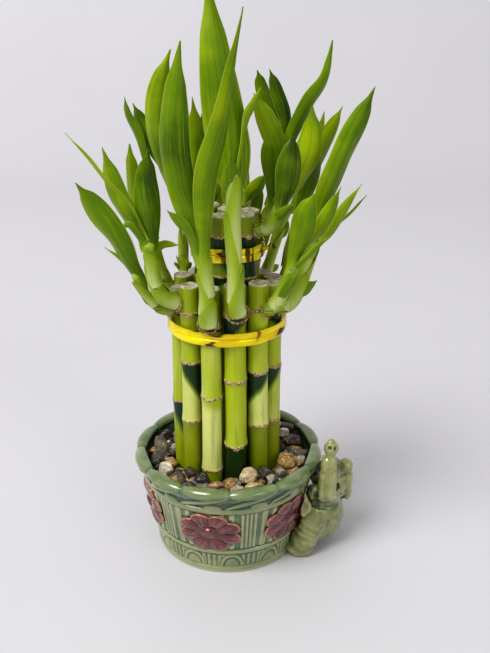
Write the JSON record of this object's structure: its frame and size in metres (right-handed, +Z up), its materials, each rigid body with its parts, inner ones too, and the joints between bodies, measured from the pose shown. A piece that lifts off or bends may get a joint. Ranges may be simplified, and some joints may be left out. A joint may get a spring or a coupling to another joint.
{
  "type": "potted lucky bamboo",
  "caption": "Two tied tiers of cut bamboo canes with leafy side shoots, standing in pebbles in a basket-shaped glazed pot with raised flowers and a small elephant on its side.",
  "frame": {"origin": "centre of the pot's flat foot, on the table", "axes": "+Z up along the canes, -Y towards the viewer's side where the tallest front leaves are, +X towards the elephant"},
  "size_m": [0.1485, 0.1066, 0.3141],
  "materials": {
    "celadon_glaze": "glossy grey-green glaze, darker where it pools in grooves",
    "maroon_glaze": "glossy dull red glaze, thin and tan on the ridges",
    "olive_glaze": "glossy olive-green glaze",
    "wet_stone": "mixed rounded pebbles, wet",
    "cane_skin": "smooth waxy yellow-green bark with tan rings and waxed cut ends",
    "leaf": "glossy green leaf blades with paler sheaths",
    "gold_foil": "shiny gold foil ribbon"
  },
  "bodies": {
    "root": {"pot": "celadon_glaze", "flower_1": "maroon_glaze", "flower_2": "maroon_glaze", "flower_3": "maroon_glaze", "flower_4": "maroon_glaze", "flower_5": "maroon_glaze", "elephant": "olive_glaze", "gravel": "wet_stone", "cane_lower_1": "cane_skin", "cane_lower_2": "cane_skin", "cane_lower_3": "cane_skin", "cane_lower_4": "cane_skin", "cane_lower_5": "cane_skin", "cane_lower_6": "cane_skin", "cane_lower_7": "cane_skin", "cane_lower_8": "cane_skin", "cane_lower_9": "cane_skin", "cane_lower_10": "cane_skin", "cane_lower_11": "cane_skin", "cane_lower_12": "cane_skin", "cane_upper_1": "cane_skin", "cane_upper_2": "cane_skin", "cane_upper_3": "cane_skin", "cane_upper_4": "cane_skin", "cane_upper_5": "cane_skin", "cane_upper_6": "cane_skin", "cane_upper_7": "cane_skin", "tie_lower": "gold_foil", "tie_upper": "gold_foil", "shoot_front_left": "leaf", "shoot_front_centre": "leaf", "shoot_left_front": "leaf", "shoot_left_low": "leaf", "shoot_left_back": "leaf", "shoot_back_left": "leaf", "shoot_back_centre_left": "leaf", "shoot_back_centre_right": "leaf", "shoot_right_back": "leaf", "shoot_right_rear": "leaf", "shoot_right_front": "leaf", "shoot_right_low": "leaf", "shoot_upper_front": "leaf", "shoot_upper_right": "leaf", "shoot_upper_left": "leaf", "shoot_upper_back_left": "leaf", "shoot_upper_back_right": "leaf"}
  },
  "joints": []
}
